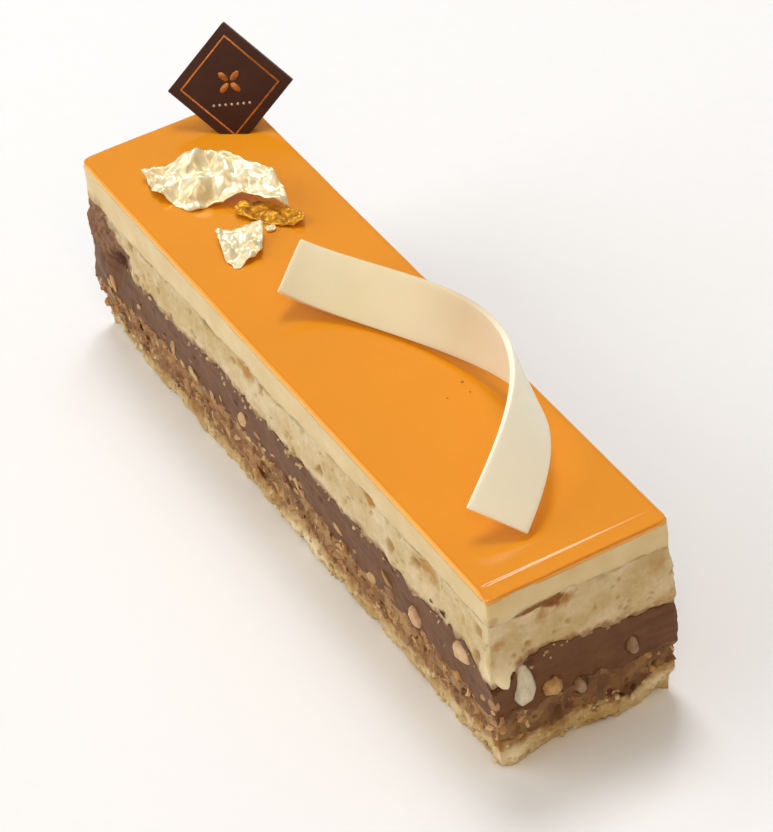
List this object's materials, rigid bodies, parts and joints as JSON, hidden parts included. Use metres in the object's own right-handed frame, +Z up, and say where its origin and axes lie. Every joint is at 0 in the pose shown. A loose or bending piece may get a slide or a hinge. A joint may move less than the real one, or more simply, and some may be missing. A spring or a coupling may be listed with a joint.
{
  "type": "praline cake",
  "caption": "Bar of layer cake cut on all sides: sponge, praline crunch, praline cream, sponge and mousse under caramel glaze, with a curl, gold leaf and a plaque on top.",
  "frame": {"origin": "middle of the cake's flat underside", "axes": "+X along the bar towards its near cut end, +Y across it, +Z up from the underside to the glaze"},
  "size_m": [0.1244, 0.0344, 0.0474],
  "materials": {
    "sponge": "open, matt crumb of pale sponge cake",
    "praline_crunch": "rough, broken wafer flakes and nuts in praline",
    "praline_cream": "smooth, satin milk chocolate cream with a cut face",
    "mousse": "smooth, soft satin set mousse with a cut face",
    "glaze": "poured, mirror gloss caramel glaze",
    "almond": "broken face of a blanched almond",
    "hazelnut": "broken face of a roasted hazelnut",
    "dark_chocolate": "moulded satin dark chocolate with printed lines",
    "white_chocolate": "smooth satin white chocolate",
    "pale_gold_leaf": "crumpled, bright pale gold leaf",
    "amber_gold_leaf": "crumpled deep gold leaf in the shade"
  },
  "bodies": {
    "root": {"base_sponge": "sponge", "praline_crunch": "praline_crunch", "praline_cream": "praline_cream", "upper_sponge": "sponge", "vanilla_mousse": "mousse", "caramel_glaze": "glaze", "almond_chunk": "almond", "almond_sliver_1": "almond", "almond_sliver_2": "almond", "almond_sliver_3": "almond", "hazelnut_piece_1": "hazelnut", "hazelnut_piece_2": "hazelnut", "dark_chocolate_plaque": "dark_chocolate", "white_chocolate_curl": "white_chocolate", "gold_leaf_large": "pale_gold_leaf", "gold_leaf_small": "pale_gold_leaf", "gold_leaf_amber": "amber_gold_leaf"}
  },
  "joints": []
}
